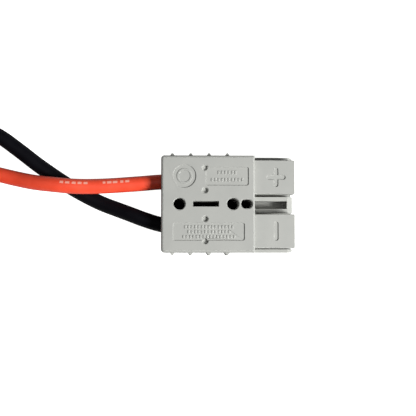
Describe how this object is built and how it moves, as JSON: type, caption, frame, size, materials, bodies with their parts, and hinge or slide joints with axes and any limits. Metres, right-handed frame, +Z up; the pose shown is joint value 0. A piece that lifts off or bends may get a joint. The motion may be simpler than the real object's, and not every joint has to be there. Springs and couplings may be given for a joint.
{
  "type": "two-pole dc power connector with leads",
  "caption": "Flat grey two-pole power connector that mates with its own kind, with sprung silver contacts and a red and a black lead to ring terminals.",
  "frame": {"origin": "on the surface that the housing lies on, under the middle of the housing, grip ribs included", "axes": "+X the way it mates, along the housing's length; +Y towards the positive pole; +Z up, out of the marked face"},
  "size_m": [0.1929, 0.0756, 0.016],
  "materials": {
    "housing_plastic": "fine-textured moulded polycarbonate, warm light grey",
    "contact_silver": "satin silver plate on copper",
    "spring_steel": "bright stainless strip",
    "copper_strands": "bare fine-stranded copper",
    "red_silicone": "smooth semi-gloss silicone rubber",
    "black_silicone": "smooth semi-gloss silicone rubber",
    "strap_fabric": "woven hook-and-loop strap",
    "red_sleeve": "shrunk polyolefin",
    "black_sleeve": "shrunk polyolefin",
    "tinned_terminal": "matte tin plate on copper"
  },
  "bodies": {
    "housing_and_leads": {"housing": "housing_plastic", "positive_leaf_spring": "spring_steel", "negative_leaf_spring": "spring_steel", "positive_lead": "red_silicone", "positive_lead_hank": "red_silicone", "positive_lead_tie": "strap_fabric", "positive_lead_end": "red_silicone", "positive_terminal_sleeve": "red_sleeve", "positive_terminal_conductor": "copper_strands", "positive_ring_terminal": "tinned_terminal", "negative_lead": "black_silicone", "negative_lead_hank": "black_silicone", "negative_lead_tie": "strap_fabric", "negative_lead_end": "black_silicone", "negative_terminal_sleeve": "black_sleeve", "negative_terminal_conductor": "copper_strands", "negative_ring_terminal": "tinned_terminal"},
    "positive_contact_and_crimp": {"positive_contact": "contact_silver", "positive_crimped_conductor": "copper_strands"},
    "negative_contact_and_crimp": {"negative_contact": "contact_silver", "negative_crimped_conductor": "copper_strands"}
  },
  "joints": [
    {"name": "positive_contact_float", "type": "hinge", "parent": "housing_and_leads", "child": "positive_contact_and_crimp", "pos_m": [-0.0186, 0.0088, 0.008], "axis": [0, -1, 0], "range_deg": [0, 1.2], "stiffness_Nm_per_rad": 2, "springref_deg": -2.86, "deforming": ["positive_leaf_spring"]},
    {"name": "negative_contact_float", "type": "hinge", "parent": "housing_and_leads", "child": "negative_contact_and_crimp", "pos_m": [-0.0186, -0.0088, 0.008], "axis": [0, -1, 0], "range_deg": [0, 1.2], "stiffness_Nm_per_rad": 2, "springref_deg": -2.86, "deforming": ["negative_leaf_spring"]}
  ]
}
